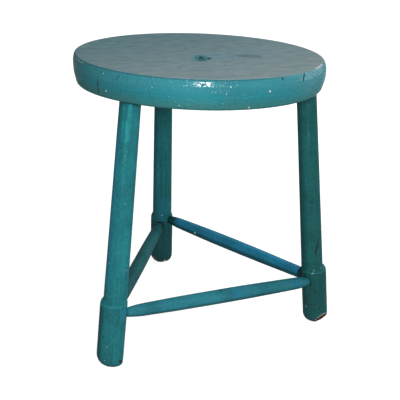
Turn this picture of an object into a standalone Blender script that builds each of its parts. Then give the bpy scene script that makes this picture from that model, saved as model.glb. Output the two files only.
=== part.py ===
"""Tripod stool of painted wood.

A turned round seat stands on three splayed legs, whose round tenons sit in blind mortises bored at
the splay angle. Three barrel-shaped stretchers tie the collared feet together. All sizes are in metres.
"""

import math
from typing import NamedTuple

import bmesh
import bpy
from mathutils import Matrix, Vector


class LegPlace(NamedTuple):
    """Where a leg stands and how far up it the collar reaches. Bearings are in degrees from +X."""

    seat_bearing: float
    floor_bearing: float
    collar_top: float


class StretcherPlace(NamedTuple):
    """The two legs that a stretcher joins, and the height of its axis at each."""

    first_leg: str
    first_height: float
    second_leg: str
    second_height: float


class Ring(NamedTuple):
    """One turned ring of a leg, on the leg's own axis. A level of 1 lies in a horizontal plane."""

    radius: float
    offset: float
    height: float
    level: float


# Fits
FIT_GAP = 0.0003
TENON_CHAMFER = 0.0008

# Seat
STOOL_HEIGHT = 0.344
SEAT_DIAMETER = 0.300
SEAT_THICKNESS = 0.0335
ARRIS_SETBACK = 0.0031
WIDEST_BELOW_TOP = 0.0082
BELLY_SETBACK = 0.0015
LOWER_ROUND = 0.004

# Legs
LEG_INSET = 0.0205
LEG_SPREAD = 0.0345
LEG_TOP_DIAMETER = 0.0242
LEG_LOWER_DIAMETER = 0.0276
LEG_TENON_SHOULDER = 0.0021
MORTISE_COVER = 0.0095
COLLAR_STEP = 0.0023
COLLAR_DEPTH = 0.0085
CREASE_WIDTH = 0.0020
CREASE_DEPTH = 0.0003
FOOT_OFFSET = 0.0020
FOOT_ROUND_HEIGHT = 0.010
FOOT_ROUND_WIDTH = 0.0065
FOOT_WEAR = 0.0020
LEG_PLACES = {
    "leg_left": LegPlace(seat_bearing=210.0, floor_bearing=210.0, collar_top=0.0800),
    "leg_right": LegPlace(seat_bearing=330.0, floor_bearing=330.0, collar_top=0.0770),
    "leg_back": LegPlace(seat_bearing=85.7, floor_bearing=80.7, collar_top=0.0790),
}

# Stretchers
STRETCHER_DIAMETER = 0.0180
STRETCHER_NECK_DIAMETER = 0.0158
STRETCHER_NOSE_LENGTH = 0.026
STRETCHER_TENON_DIAMETER = 0.008
STRETCHER_TENON_LENGTH = 0.0075
STRETCHER_TENON_SHOULDER = 0.0016
STRETCHER_PLACES = {
    "stretcher_front": StretcherPlace(
        first_leg="leg_left", first_height=0.0605, second_leg="leg_right", second_height=0.0539
    ),
    "stretcher_right": StretcherPlace(
        first_leg="leg_right", first_height=0.0579, second_leg="leg_back", second_height=0.0733
    ),
    "stretcher_left": StretcherPlace(
        first_leg="leg_back", first_height=0.0641, second_leg="leg_left", second_height=0.0633
    ),
}

# Smoothness of the turned surfaces
SEAT_SIDES = 80
LEG_SIDES = 32
STRETCHER_SIDES = 24
ARC_STEPS = 5
BARREL_STEPS = 4
SHARP_ANGLE = math.radians(40)

# Paint, as linear colours
SEAT_PAINT = (0.040, 0.225, 0.262)
LEG_PAINT = (0.020, 0.158, 0.190)
STRETCHER_PAINT = (0.018, 0.140, 0.185)
PAINT_ROUGHNESS = 0.32

# Sizes that follow from those above
UNDERSIDE_HEIGHT = STOOL_HEIGHT - SEAT_THICKNESS
LEG_CIRCLE_AT_SEAT = SEAT_DIAMETER / 2 - LEG_INSET
LEG_CIRCLE_AT_FLOOR = LEG_CIRCLE_AT_SEAT + LEG_SPREAD
LEG_TENON_RADIUS = LEG_TOP_DIAMETER / 2 - LEG_TENON_SHOULDER
SHAFT_FOOT_RADIUS = LEG_LOWER_DIAMETER / 2
COLLAR_RADIUS = SHAFT_FOOT_RADIUS + COLLAR_STEP
STRETCHER_END_RADIUS = STRETCHER_TENON_DIAMETER / 2 + STRETCHER_TENON_SHOULDER
UP = Vector((0.0, 0.0, 1.0))


def clear_scene():
    for obj in list(bpy.data.objects):
        bpy.data.objects.remove(obj, do_unlink=True)


def new_collection(name):
    collection = bpy.data.collections.new(name)
    bpy.context.scene.collection.children.link(collection)
    return collection


def painted_wood(name, colour):
    material = bpy.data.materials.new(name)
    material.use_nodes = True
    shader = material.node_tree.nodes["Principled BSDF"]
    shader.inputs["Base Color"].default_value = (*colour, 1.0)
    shader.inputs["Roughness"].default_value = PAINT_ROUGHNESS
    shader.inputs["Metallic"].default_value = 0.0
    material.diffuse_color = (*colour, 1.0)
    return material


def add_part(name, mesh, matrix, collection, root, colour):
    part = bpy.data.objects.new(name, mesh)
    mesh.materials.append(painted_wood(name + "_paint", colour))
    collection.objects.link(part)
    part.parent = root
    part.matrix_local = matrix
    return part


def frame_along(start, direction):
    """A frame at start whose Z axis runs along direction."""
    return Matrix.Translation(start) @ direction.to_track_quat("Z", "Y").to_matrix().to_4x4()


def turned_profile(name, points):
    """A mesh of the profile's edges, from the top of the turning down its outer side to the bottom."""
    mesh = bpy.data.meshes.new(name)
    shape = bmesh.new()
    verts = [shape.verts.new((radius, 0.0, height)) for radius, height in points]
    for upper, lower in zip(verts, verts[1:]):
        shape.edges.new((upper, lower))
    shape.to_mesh(mesh)
    shape.free()
    return mesh


def turn(part, sides):
    screw = part.modifiers.new("Turned", "SCREW")
    screw.axis = "Z"
    screw.steps = sides
    screw.render_steps = sides
    screw.use_merge_vertices = True
    screw.merge_threshold = 0.00001
    screw.use_smooth_shade = True


def bore(part, name, start, direction, depth, diameter, sides, cutters, root):
    """Cuts a round hole of this depth into a part, from start along direction."""
    mesh = bpy.data.meshes.new(name)
    shape = bmesh.new()
    bmesh.ops.create_cone(
        shape, cap_ends=True, segments=sides, radius1=diameter / 2, radius2=diameter / 2, depth=depth
    )
    shape.to_mesh(mesh)
    shape.free()
    cutter = bpy.data.objects.new(name, mesh)
    cutter.hide_render = True
    cutter.display_type = "WIRE"
    cutters.objects.link(cutter)
    cutter.parent = root
    cutter.matrix_local = frame_along(start + direction * (depth / 2), direction)
    cut = part.modifiers.new(name, "BOOLEAN")
    cut.operation = "DIFFERENCE"
    cut.solver = "EXACT"
    cut.object = cutter


# Legs


def on_circle(radius, bearing, height):
    angle = math.radians(bearing)
    return Vector((radius * math.cos(angle), radius * math.sin(angle), height))


def leg_frame(place):
    """The leg's frame: origin where its axis meets the floor, Z up the axis, X towards the outside."""
    floor_point = on_circle(LEG_CIRCLE_AT_FLOOR, place.floor_bearing, 0.0)
    seat_point = on_circle(LEG_CIRCLE_AT_SEAT, place.seat_bearing, UNDERSIDE_HEIGHT)
    axis = (seat_point - floor_point).normalized()
    side = axis.cross(floor_point).normalized()
    outward = side.cross(axis)
    frame = Matrix((outward, side, axis)).transposed().to_4x4()
    frame.translation = floor_point
    return frame


def leg_axis(frame):
    return frame.to_3x3() @ UP


def leg_length(frame):
    """From the floor to the seat's underside, along the leg."""
    return UNDERSIDE_HEIGHT / leg_axis(frame).z


def leg_tenon_length(frame):
    """From the seat's underside to the end of the leg's tenon, along the leg."""
    return (SEAT_THICKNESS - MORTISE_COVER) / leg_axis(frame).z


def leg_rings(frame, collar_top):
    """A leg's rings from the floor up: foot eased and worn most on its outer side, crease, collar,
    shaft, pared shoulder and tenon."""
    rings = []
    for step in range(ARC_STEPS + 1):
        angle = math.pi / 2 * step / ARC_STEPS
        eased = 1 - math.sin(angle)
        radius = COLLAR_RADIUS - FOOT_ROUND_WIDTH * eased
        offset = FOOT_OFFSET - FOOT_WEAR * eased
        height = FOOT_ROUND_HEIGHT * (1 - math.cos(angle))
        rings.append(Ring(radius, offset, height, 1 - step / ARC_STEPS))
    crease = collar_top - COLLAR_DEPTH
    rings.append(Ring(COLLAR_RADIUS, FOOT_OFFSET, crease - CREASE_WIDTH / 2, 0.0))
    rings.append(Ring(COLLAR_RADIUS - CREASE_DEPTH, FOOT_OFFSET, crease, 0.0))
    collar_rise = COLLAR_DEPTH - CREASE_WIDTH / 2
    for step in range(ARC_STEPS + 1):
        angle = math.pi / 2 * step / ARC_STEPS
        radius = SHAFT_FOOT_RADIUS + COLLAR_STEP * math.cos(angle)
        height = crease + CREASE_WIDTH / 2 + collar_rise * math.sin(angle)
        rings.append(Ring(radius, FOOT_OFFSET * math.cos(angle), height, 0.0))
    shoulder = leg_length(frame) - FIT_GAP
    tenon_end = leg_length(frame) + leg_tenon_length(frame)
    rings.append(Ring(LEG_TOP_DIAMETER / 2, 0.0, shoulder, 1.0))
    rings.append(Ring(LEG_TENON_RADIUS, 0.0, shoulder, 1.0))
    rings.append(Ring(LEG_TENON_RADIUS, 0.0, tenon_end - TENON_CHAMFER, 0.0))
    rings.append(Ring(LEG_TENON_RADIUS - TENON_CHAMFER, 0.0, tenon_end, 0.0))
    return rings


def place_ring(verts, before, ring, up):
    """Resizes a ring of vertices about the leg's axis and tilts it by its share of a level plane."""
    growth = ring.radius / before.radius
    for vert in verts:
        x = ring.offset + (vert.co.x - before.offset) * growth
        y = vert.co.y * growth
        vert.co = (x, y, ring.height - ring.level * (up.x * x + up.y * y) / up.z)


def leg_mesh(name, frame, collar_top):
    """A ring of vertices, drawn up the leg from the floor to the end of the tenon."""
    up = frame.to_3x3().transposed() @ UP
    rings = leg_rings(frame, collar_top)
    shape = bmesh.new()
    unit = Ring(1.0, 0.0, 0.0, 0.0)
    verts = bmesh.ops.create_circle(shape, cap_ends=True, radius=unit.radius, segments=LEG_SIDES)["verts"]
    edges = list(shape.edges)
    place_ring(verts, unit, rings[0], up)
    for before, ring in zip(rings, rings[1:]):
        drawn = bmesh.ops.extrude_edge_only(shape, edges=edges)["geom"]
        verts = [item for item in drawn if isinstance(item, bmesh.types.BMVert)]
        edges = [item for item in drawn if isinstance(item, bmesh.types.BMEdge)]
        place_ring(verts, before, ring, up)
    bmesh.ops.edgeloop_fill(shape, edges=edges)
    bmesh.ops.recalc_face_normals(shape, faces=shape.faces)
    mesh = bpy.data.meshes.new(name)
    shape.to_mesh(mesh)
    shape.free()
    mesh.shade_smooth()
    mesh.set_sharp_from_angle(angle=SHARP_ANGLE)
    return mesh


def build_legs(frames, parts, root):
    legs = {}
    for name, frame in frames.items():
        mesh = leg_mesh(name, frame, LEG_PLACES[name].collar_top)
        legs[name] = add_part(name, mesh, frame, parts, root, LEG_PAINT)
    return legs


# Seat


def seat_profile():
    """The seat's half section: flat top, crisp arris, bulging side, eased lower edge, flat underside."""
    widest = SEAT_DIAMETER / 2
    crown_radius = (ARRIS_SETBACK**2 + WIDEST_BELOW_TOP**2) / (2 * ARRIS_SETBACK)
    crown_angle = math.asin(WIDEST_BELOW_TOP / crown_radius)
    widest_height = SEAT_THICKNESS - WIDEST_BELOW_TOP
    points = [(0.0, SEAT_THICKNESS)]
    for step in range(ARC_STEPS + 1):
        angle = crown_angle * (1 - step / ARC_STEPS)
        radius = widest - crown_radius * (1 - math.cos(angle))
        points.append((radius, widest_height + crown_radius * math.sin(angle)))
    lower_edge = widest - BELLY_SETBACK
    for step in range(1, BARREL_STEPS):
        drop = step / BARREL_STEPS
        height = widest_height - (widest_height - LOWER_ROUND) * drop
        points.append((widest - BELLY_SETBACK * drop**2, height))
    for step in range(ARC_STEPS + 1):
        angle = math.pi / 2 * step / ARC_STEPS
        radius = lower_edge - LOWER_ROUND * (1 - math.cos(angle))
        points.append((radius, LOWER_ROUND * (1 - math.sin(angle))))
    points.append((0.0, 0.0))
    return points


def build_seat(frames, parts, cutters, root):
    base = Matrix.Translation((0.0, 0.0, UNDERSIDE_HEIGHT))
    seat = add_part("seat", turned_profile("seat", seat_profile()), base, parts, root, SEAT_PAINT)
    turn(seat, SEAT_SIDES)
    mouth = SEAT_THICKNESS / 2
    for name, frame in frames.items():
        axis = leg_axis(frame)
        start = frame.translation + axis * (leg_length(frame) - mouth)
        depth = mouth + leg_tenon_length(frame) + FIT_GAP
        hole = 2 * (LEG_TENON_RADIUS + FIT_GAP)
        bore(seat, "seat_mortise_" + name, start, axis, depth, hole, LEG_SIDES, cutters, root)


# Stretchers


def foot_point(frame, height):
    """The point at this height on the axis of a leg's foot, which stands out from the shaft."""
    foot_centre = frame @ Vector((FOOT_OFFSET, 0.0, 0.0))
    axis = leg_axis(frame)
    return foot_centre + axis * ((height - foot_centre.z) / axis.z)


def stretcher_profile(shoulder):
    """Tenon, rounded nose and barrel of a stretcher whose shoulders lie this far from its middle."""
    tenon_radius = STRETCHER_TENON_DIAMETER / 2
    neck_radius = STRETCHER_NECK_DIAMETER / 2
    swell = STRETCHER_DIAMETER / 2 - neck_radius
    neck = shoulder - STRETCHER_NOSE_LENGTH
    tenon_end = shoulder + STRETCHER_TENON_LENGTH
    half = [
        (0.0, tenon_end),
        (tenon_radius - TENON_CHAMFER, tenon_end),
        (tenon_radius, tenon_end - TENON_CHAMFER),
        (tenon_radius, shoulder),
    ]
    for step in range(ARC_STEPS + 1):
        along = 1 - step / ARC_STEPS
        radius = neck_radius - (neck_radius - STRETCHER_END_RADIUS) * along**2
        half.append((radius, neck + STRETCHER_NOSE_LENGTH * along))
    for step in range(1, BARREL_STEPS):
        along = 1 - step / BARREL_STEPS
        half.append((neck_radius + swell * (1 - along**2), neck * along))
    middle = [(STRETCHER_DIAMETER / 2, 0.0)]
    return half + middle + [(radius, -height) for radius, height in reversed(half)]


def stand_off(frame, direction):
    """How far from the foot's axis a stretcher's square shoulder just clears the collar."""
    lean = abs(leg_axis(frame).dot(direction))
    square = math.sqrt(1 - lean**2)
    return (COLLAR_RADIUS + FIT_GAP + STRETCHER_END_RADIUS * lean) / square


def build_stretchers(frames, legs, parts, cutters, root):
    hole = STRETCHER_TENON_DIAMETER + 2 * FIT_GAP
    mortise_depth = STRETCHER_TENON_LENGTH + FIT_GAP
    for name, place in STRETCHER_PLACES.items():
        first = foot_point(frames[place.first_leg], place.first_height)
        second = foot_point(frames[place.second_leg], place.second_height)
        axis = (second - first).normalized()
        first_shoulder = first + axis * stand_off(frames[place.first_leg], axis)
        second_shoulder = second - axis * stand_off(frames[place.second_leg], axis)
        profile = turned_profile(name, stretcher_profile((second_shoulder - first_shoulder).length / 2))
        middle = frame_along((first_shoulder + second_shoulder) / 2, axis)
        part = add_part(name, profile, middle, parts, root, STRETCHER_PAINT)
        turn(part, STRETCHER_SIDES)
        ends = ((place.first_leg, first_shoulder, axis), (place.second_leg, second_shoulder, -axis))
        for leg, shoulder, inward in ends:
            start = shoulder - inward * mortise_depth
            mortise = leg + "_mortise_" + name
            depth = mortise_depth + COLLAR_RADIUS
            bore(legs[leg], mortise, start, inward, depth, hole, STRETCHER_SIDES, cutters, root)


def stand_on_origin(root, parts):
    """Moves the stool so that the middle of its footprint is over the origin."""
    bpy.context.view_layer.update()
    depsgraph = bpy.context.evaluated_depsgraph_get()
    points = []
    for part in parts.objects:
        solid = part.evaluated_get(depsgraph)
        points += [part.matrix_world @ vertex.co for vertex in solid.to_mesh().vertices]
        solid.to_mesh_clear()
    for side in range(2):
        places = [point[side] for point in points]
        root.location[side] = -(min(places) + max(places)) / 2


def main():
    clear_scene()
    parts = new_collection("tripod_stool")
    cutters = new_collection("cutters")
    root = bpy.data.objects.new("tripod_stool_root", None)
    bpy.context.scene.collection.objects.link(root)
    frames = {name: leg_frame(place) for name, place in LEG_PLACES.items()}
    legs = build_legs(frames, parts, root)
    build_seat(frames, parts, cutters, root)
    build_stretchers(frames, legs, parts, cutters, root)
    stand_on_origin(root, parts)


main()
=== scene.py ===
"""Looks of a painted tripod stool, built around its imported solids.

The seat, legs and stretchers are modelled again with the forms that wear and hand work give them: a softened
arris, a knot and drying checks in the seat, open joints and chipped feet. Each is then coated with brushed
gloss paint made of procedural nodes. All sizes are in metres, and all colours are linear.
"""

import math
from functools import partial
from typing import NamedTuple

import bmesh
import bpy
from bpy.props import FloatProperty, FloatVectorProperty, IntProperty, PointerProperty
from mathutils import Matrix, Vector, noise


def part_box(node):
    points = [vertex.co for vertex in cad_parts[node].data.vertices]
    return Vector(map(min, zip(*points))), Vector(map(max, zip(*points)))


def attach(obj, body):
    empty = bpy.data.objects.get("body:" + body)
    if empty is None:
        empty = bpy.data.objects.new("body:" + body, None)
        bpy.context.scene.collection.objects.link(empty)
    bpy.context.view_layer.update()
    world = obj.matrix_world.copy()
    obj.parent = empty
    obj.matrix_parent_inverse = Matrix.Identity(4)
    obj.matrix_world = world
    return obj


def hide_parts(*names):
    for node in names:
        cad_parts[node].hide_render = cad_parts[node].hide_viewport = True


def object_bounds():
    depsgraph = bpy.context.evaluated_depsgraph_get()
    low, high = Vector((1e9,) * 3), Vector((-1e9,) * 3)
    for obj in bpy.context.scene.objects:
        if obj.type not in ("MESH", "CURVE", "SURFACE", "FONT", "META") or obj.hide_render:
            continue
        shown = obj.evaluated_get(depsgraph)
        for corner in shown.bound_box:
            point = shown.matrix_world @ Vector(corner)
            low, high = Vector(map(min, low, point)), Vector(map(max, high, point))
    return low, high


bl_info = {
    "name": "Painted tripod stool",
    "version": (1, 0, 0),
    "blender": (4, 5, 0),
    "location": "View3D > Sidebar > Stool",
    "description": "Builds the finished surfaces of a painted tripod stool around its solids",
    "category": "Object",
}

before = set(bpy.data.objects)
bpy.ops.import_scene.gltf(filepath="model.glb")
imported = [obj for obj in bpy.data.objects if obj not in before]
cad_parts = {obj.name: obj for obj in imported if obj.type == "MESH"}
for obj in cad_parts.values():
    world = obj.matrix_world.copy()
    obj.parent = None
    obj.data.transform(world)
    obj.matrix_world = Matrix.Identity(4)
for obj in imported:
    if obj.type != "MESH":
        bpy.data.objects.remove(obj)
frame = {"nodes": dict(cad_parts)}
CAD_BOX = [list(corner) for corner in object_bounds()]
SAME_PLACE = 0.00001
UPWARD = Vector((0.0, 0.0, 1.0))


class Ring(NamedTuple):
    """One turned ring of a leg, on the leg's own axis. A level of 1 lies in a horizontal plane."""

    radius: float
    offset: float
    sideways: float
    height: float
    level: float


class Stroke(NamedTuple):
    """A scratch or crack from start to end, in a piece's own coordinates, and half its width."""

    start: tuple
    end: tuple
    width: float


class Fleck(NamedTuple):
    """A spot on the seat's edge: bearing from +X in degrees, depth below the top and half its width."""

    bearing: float
    below: float
    radius: float


class Check(NamedTuple):
    """A drying crack in the seat's edge: its span below the top, and its bearing from +X at each end."""

    upper: float
    lower: float
    upper_bearing: float
    lower_bearing: float


class Swell(NamedTuple):
    """A stretch of the seat's edge that stands out at mid-height and at its foot, or in where negative."""

    bearing: float
    spread: float
    waist: float
    foot: float


class PaleBit(NamedTuple):
    """A pale stretch of the top's edge: degrees from the front towards +X, depth below the top, strength."""

    first: float
    last: float
    below: float
    strength: float


class Eye(NamedTuple):
    """A dark opening in the knot: its place across and along the knot, half its width and half its length."""

    across: float
    along: float
    width: float
    length: float


class Foot(NamedTuple):
    """A foot's rounded end: width and height of the round, its wear and the worn side's turn from outward in
    degrees, and its shares of painted shade and of grit."""

    round_width: float
    round_height: float
    wear: float
    wear_turn: float
    painted_shade: float
    grit: float


class Chip(NamedTuple):
    """A flake broken off a foot: where and how far down it faces, its depth and how far paint peeled."""

    bearing: float
    downward: float
    depth: float
    peel: float


class Dab(NamedTuple):
    """A bluer patch on a stretcher: its place along the rod from the middle, and half its length."""

    along: float
    reach: float


class Leg(NamedTuple):
    """A leg's collar, foot and paint: its tone, its share of painted side shade, and its marks in its own
    frame, painted highlights and painted shade among them.
    """

    collar_top: float
    tone: tuple
    side_shade: float
    foot: Foot
    shaded_sides: tuple
    painted_highlights: tuple
    flecks: tuple
    chips: tuple = ()
    scratches: tuple = ()
    blues: tuple = ()


class Rod(NamedTuple):
    """A stretcher's two legs and its paint: its tone, the upper limit and share of painted shade on its lower
    side, how much of each end is bare and how much of the second is darker, and its marks in its own frame."""

    legs: tuple
    tone: tuple
    lower_shade_limit: float
    lower_shade_share: float
    bare_ends: tuple
    darkened_end: float = 0.0
    dots: tuple = ()
    flecks: tuple = ()
    dabs: tuple = ()


# Marks on the seat, measured from the middle of its top
SEAT_SWELLS = (
    Swell(bearing=-26, spread=34, waist=0.0017, foot=-0.0012),
    Swell(bearing=154, spread=34, waist=-0.0008, foot=-0.0026),
)
SEAT_CHECKS = (
    Check(upper=0.0130, lower=0.0345, upper_bearing=-163.0, lower_bearing=-162.6),
    Check(upper=-0.0030, lower=0.0112, upper_bearing=-64.4, lower_bearing=-66.9),
    Check(upper=0.0010, lower=0.0042, upper_bearing=-78.8, lower_bearing=-79.2),
)
KNOT_EYES = (
    Eye(across=0.0, along=0.0015, width=0.0028, length=0.0140),
    Eye(across=0.0100, along=0.0008, width=0.0023, length=0.0075),
    Eye(across=0.0038, along=-0.0050, width=0.0014, length=0.0050),
)
SEAT_CRACKS = (
    Stroke((0.0050, -0.0200, 0.0), (0.0188, -0.0139, 0.0), 0.0009),
    Stroke((0.0217, -0.0321, 0.0), (0.0343, -0.0258, 0.0), 0.0010),
    Stroke((0.0343, -0.0258, 0.0), (0.0500, -0.0277, 0.0), 0.0007),
    Stroke((0.0172, 0.0011, 0.0), (0.0276, 0.0086, 0.0), 0.0009),
    Stroke((0.0276, 0.0086, 0.0), (0.0291, -0.0020, 0.0), 0.0009),
    Stroke((0.0321, -0.0081, 0.0), (0.0326, -0.0162, 0.0), 0.0009),
)
SEAT_SPOTS = (
    Stroke((-0.0094, 0.0482, 0.0), (-0.0082, 0.0505, 0.0), 0.0016),
    Stroke((0.0438, 0.0495, 0.0), (0.0450, 0.0518, 0.0), 0.0017),
    Stroke((0.0728, 0.0394, 0.0), (0.0740, 0.0417, 0.0), 0.0017),
    Stroke((-0.0042, 0.0327, 0.0), (-0.0028, 0.0350, 0.0), 0.0014),
    Stroke((0.0325, 0.0206, 0.0), (0.0335, 0.0229, 0.0), 0.0014),
    Stroke((-0.0625, -0.0798, 0.0), (-0.0613, -0.0775, 0.0), 0.0016),
    Stroke((-0.0040, -0.0762, 0.0), (-0.0028, -0.0739, 0.0), 0.0015),
    Stroke((0.0220, -0.0466, 0.0), (0.0232, -0.0443, 0.0), 0.0013),
    Stroke((-0.0044, 0.0692, 0.0), (-0.0032, 0.0708, 0.0), 0.0016),
    Stroke((-0.0684, 0.0962, 0.0), (-0.0671, 0.0984, 0.0), 0.0016),
)
SEAT_STAIN = Stroke((0.0440, -0.0300, 0.0), (0.0560, -0.0370, 0.0), 0.0130)
BLUE_STAIN = Stroke((-0.0030, -0.0290, 0.0), (0.0620, -0.0130, 0.0), 0.0330)
EDGE_SCRATCHES = (
    Stroke((-0.1314, -0.0720, -0.0099), (-0.1287, -0.0755, -0.0041), 0.0007),
)
EDGE_FLECKS = (
    Fleck(bearing=-158.8, below=0.0060, radius=0.0008),
    Fleck(bearing=-157.3, below=0.0242, radius=0.0012),
    Fleck(bearing=-134.4, below=0.0112, radius=0.0008),
    Fleck(bearing=-123.2, below=0.0287, radius=0.0014),
    Fleck(bearing=-94.5, below=0.0305, radius=0.0018),
    Fleck(bearing=-85.5, below=0.0142, radius=0.0014),
    Fleck(bearing=-102.8, below=0.0073, radius=0.0010),
)
# Pale stretches along the top's edge, laid in primer colour
ARRIS_PALE_BITS = (
    PaleBit(first=35.5, last=48.0, below=0.0004, strength=0.9),
    PaleBit(first=-96.5, last=-85.0, below=0.0023, strength=0.4),
)

# Legs and stretchers
LEGS = {
    "leg_left": Leg(
        collar_top=0.0800, tone=(1.0, 0.97, 0.97), side_shade=0.65,
        foot=Foot(round_width=0.0058, round_height=0.0125, wear=0.0052, wear_turn=-50, painted_shade=0.05, grit=0.25),
        scratches=(
            Stroke((0.0181, 0.0005, 0.0374), (0.0181, 0.0005, 0.0378), 0.0010),
            Stroke((0.0024, 0.0158, 0.0066), (0.0000, 0.0153, 0.0056), 0.0020),
        ),
        flecks=(
            Stroke((0.0168, 0.0064, 0.0267), (0.0168, 0.0064, 0.0270), 0.0008),
            Stroke((0.0172, 0.0044, 0.0087), (0.0172, 0.0044, 0.0090), 0.0008),
            Stroke((0.0133, -0.0017, 0.1260), (0.0133, -0.0017, 0.1264), 0.0008),
            Stroke((0.0050, 0.0126, 0.1174), (0.0050, 0.0126, 0.1178), 0.0008),
            Stroke((0.0005, 0.0135, 0.1184), (0.0005, 0.0135, 0.1190), 0.0008),
        ),
        blues=(
            Stroke((0.0022, 0.0161, 0.0610), (0.0022, 0.0161, 0.0690), 0.0070),
            Stroke((0.0116, -0.0042, 0.2790), (0.0128, -0.0030, 0.1000), 0.0055),
        ),
        # Painted shade down the foot's side away from the light
        shaded_sides=(Stroke((0.0160, -0.0070, 0.0120), (0.0160, -0.0075, 0.0680), 0.0075),),
        # Painted highlights: pale streaks on the upper leg
        painted_highlights=(
            Stroke((0.0091, 0.0079, 0.3071), (0.0086, 0.0086, 0.2940), 0.0036),
            Stroke((0.0108, 0.0060, 0.2850), (0.0106, 0.0064, 0.2720), 0.0080),
        ),
    ),
    "leg_right": Leg(
        collar_top=0.0770, tone=(0.72, 0.56, 0.50), side_shade=0.4,
        foot=Foot(round_width=0.0084, round_height=0.0105, wear=0.0005, wear_turn=0, painted_shade=0.0, grit=0.6),
        chips=(Chip(bearing=-71.0, downward=37.0, depth=0.0032, peel=0.0022),),
        scratches=(
            Stroke((0.0089, -0.0101, 0.1192), (0.0066, -0.0118, 0.1085), 0.0009),
            Stroke((0.0066, -0.0118, 0.1085), (0.0044, -0.0128, 0.0986), 0.0014),
        ),
        flecks=(
            # The first is a painted highlight on the collar's shoulder, in primer colour
            Stroke((-0.0006, -0.0157, 0.0728), (0.0008, -0.0157, 0.0728), 0.0011),
            Stroke((-0.0098, -0.0108, 0.0225), (-0.0097, -0.0109, 0.0250), 0.0009),
        ),
        # Painted shade down the side away from the light
        shaded_sides=(Stroke((-0.0095, -0.0085, 0.3000), (-0.0105, -0.0090, 0.0300), 0.0050),),
        # Painted highlight: a pale streak on the upper leg
        painted_highlights=(Stroke((0.0020, -0.0130, 0.2900), (0.0010, -0.0135, 0.2500), 0.0040),),
    ),
    "leg_back": Leg(
        collar_top=0.0790, tone=(0.76, 0.72, 0.68), side_shade=0.4,
        foot=Foot(round_width=0.0075, round_height=0.0100, wear=0.0020, wear_turn=0, painted_shade=0.65, grit=0.4),
        chips=(
            Chip(bearing=-172.0, downward=32.0, depth=0.0018, peel=0.0004),
            Chip(bearing=-88.0, downward=50.0, depth=0.0012, peel=0.0004),
        ),
        # A painted highlight on the collar's shoulder, in primer colour
        flecks=(Stroke((-0.0133, 0.0034, 0.0824), (-0.0133, 0.0032, 0.0832), 0.0009),),
        blues=(
            Stroke((-0.0136, -0.0008, 0.1050), (-0.0120, 0.0060, 0.0800), 0.0120),
            Stroke((-0.0090, 0.0089, 0.3000), (-0.0098, 0.0095, 0.1000), 0.0040),
        ),
        # Painted shade down the side away from the light
        shaded_sides=(Stroke((-0.0080, -0.0095, 0.3000), (-0.0085, -0.0105, 0.1100), 0.0070),),
        # Painted highlight: a thin pale line down the leg
        painted_highlights=(Stroke((-0.0124, 0.0027, 0.2600), (-0.0134, 0.0016, 0.1163), 0.0018),),
    ),
}
RODS = {
    "stretcher_front": Rod(
        legs=("leg_left", "leg_right"), tone=(0.95, 0.93, 0.93), lower_shade_limit=-0.0035, lower_shade_share=0.50,
        bare_ends=(0.0, 0.0005),
        dots=(Stroke((-0.0025, 0.0086, -0.0037), (-0.0025, 0.0086, -0.0033), 0.0012),),
        dabs=(Dab(along=0.0215, reach=0.0150), Dab(along=0.1020, reach=0.0110)),
    ),
    "stretcher_right": Rod(
        legs=("leg_right", "leg_back"), tone=(0.8, 0.8, 0.8), lower_shade_limit=-0.0005, lower_shade_share=0.80,
        bare_ends=(0.0060, 0.0), darkened_end=0.0165,
        flecks=(Stroke((0.0084, -0.0005, 0.0613), (0.0084, -0.0005, 0.0621), 0.0013),),
    ),
    "stretcher_left": Rod(
        legs=("leg_back", "leg_left"), tone=(0.62, 0.48, 0.43), lower_shade_limit=-0.0010, lower_shade_share=0.45,
        bare_ends=(0.0005, 0.0),
    ),
}

# Stretcher ends at a leg: loose ones, those that lie off the solid's axis, and those that are blunter
OPEN_JOINTS = {
    ("stretcher_front", "leg_right"),
    ("stretcher_right", "leg_right"),
    ("stretcher_left", "leg_back"),
}
NO_SHIFT = (0.0, 0.0, 0.0)
END_SHIFTS = {
    ("stretcher_front", "leg_right"): (0.0050, -0.0045, 0.0040),
    ("stretcher_right", "leg_right"): (0.0006, -0.0012, 0.0008),
}
BLUNT_ENDS = {("stretcher_right", "leg_right"): 0.0073}


# Settings


def setting(kind, name, description, default, **rest):
    """One of Blender's properties."""
    return kind(name=name, description=description, default=default, **rest)


metres = partial(setting, FloatProperty, unit="LENGTH", precision=5)
fraction = partial(setting, FloatProperty, subtype="FACTOR", precision=3)
radians = partial(setting, FloatProperty, subtype="ANGLE", precision=3)
watts = partial(setting, FloatProperty, unit="POWER")
plain_number = partial(setting, FloatProperty)
count = partial(setting, IntProperty, min=3)
tint = partial(setting, FloatVectorProperty, subtype="COLOR")
position = partial(setting, FloatVectorProperty, subtype="TRANSLATION")
flat_position = partial(setting, FloatVectorProperty, size=2, unit="LENGTH")


class SeatSettings(bpy.types.PropertyGroup):
    """Sizes of the seat's turned edge and of the knot in its top."""

    arris_setback: metres("Arris setback", "How far the top's edge lies inside the widest line", 0.0031)
    crown_flatness: fraction("Crown flatness", "Share of the edge's crown that is a flat bevel", 0.58)
    widest_below_top: metres("Widest line", "Depth of the seat's widest line below its top", 0.0082)
    belly_setback: metres("Belly setback", "How far the side draws in down to the lower edge", 0.0015)
    lower_round: metres("Lower round", "Radius of the lower edge", 0.004)
    arris_round: metres("Arris round", "Width of the worn round on the top's edge", 0.0011)
    knot_place: flat_position("Knot", "Place of the knot, from the middle of the top", (-0.0133, -0.0310))
    knot_turn: radians("Knot turn", "Bearing of the knot's long axis from +X", 1.117)
    knot_width: metres("Knot width", "Half the width of the knot's hollow", 0.0100)
    knot_length: metres("Knot length", "Half the length of the knot's hollow", 0.0200)
    knot_depth: metres("Knot depth", "Depth of the knot's hollow", 0.0007)
    check_width: metres("Check width", "Width of a drying crack in the edge", 0.0025)
    unevenness: metres("Unevenness", "Depth of the hollows of hand work", 0.00025)
    sides: count("Sides", "Steps round the seat", 320)


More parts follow.
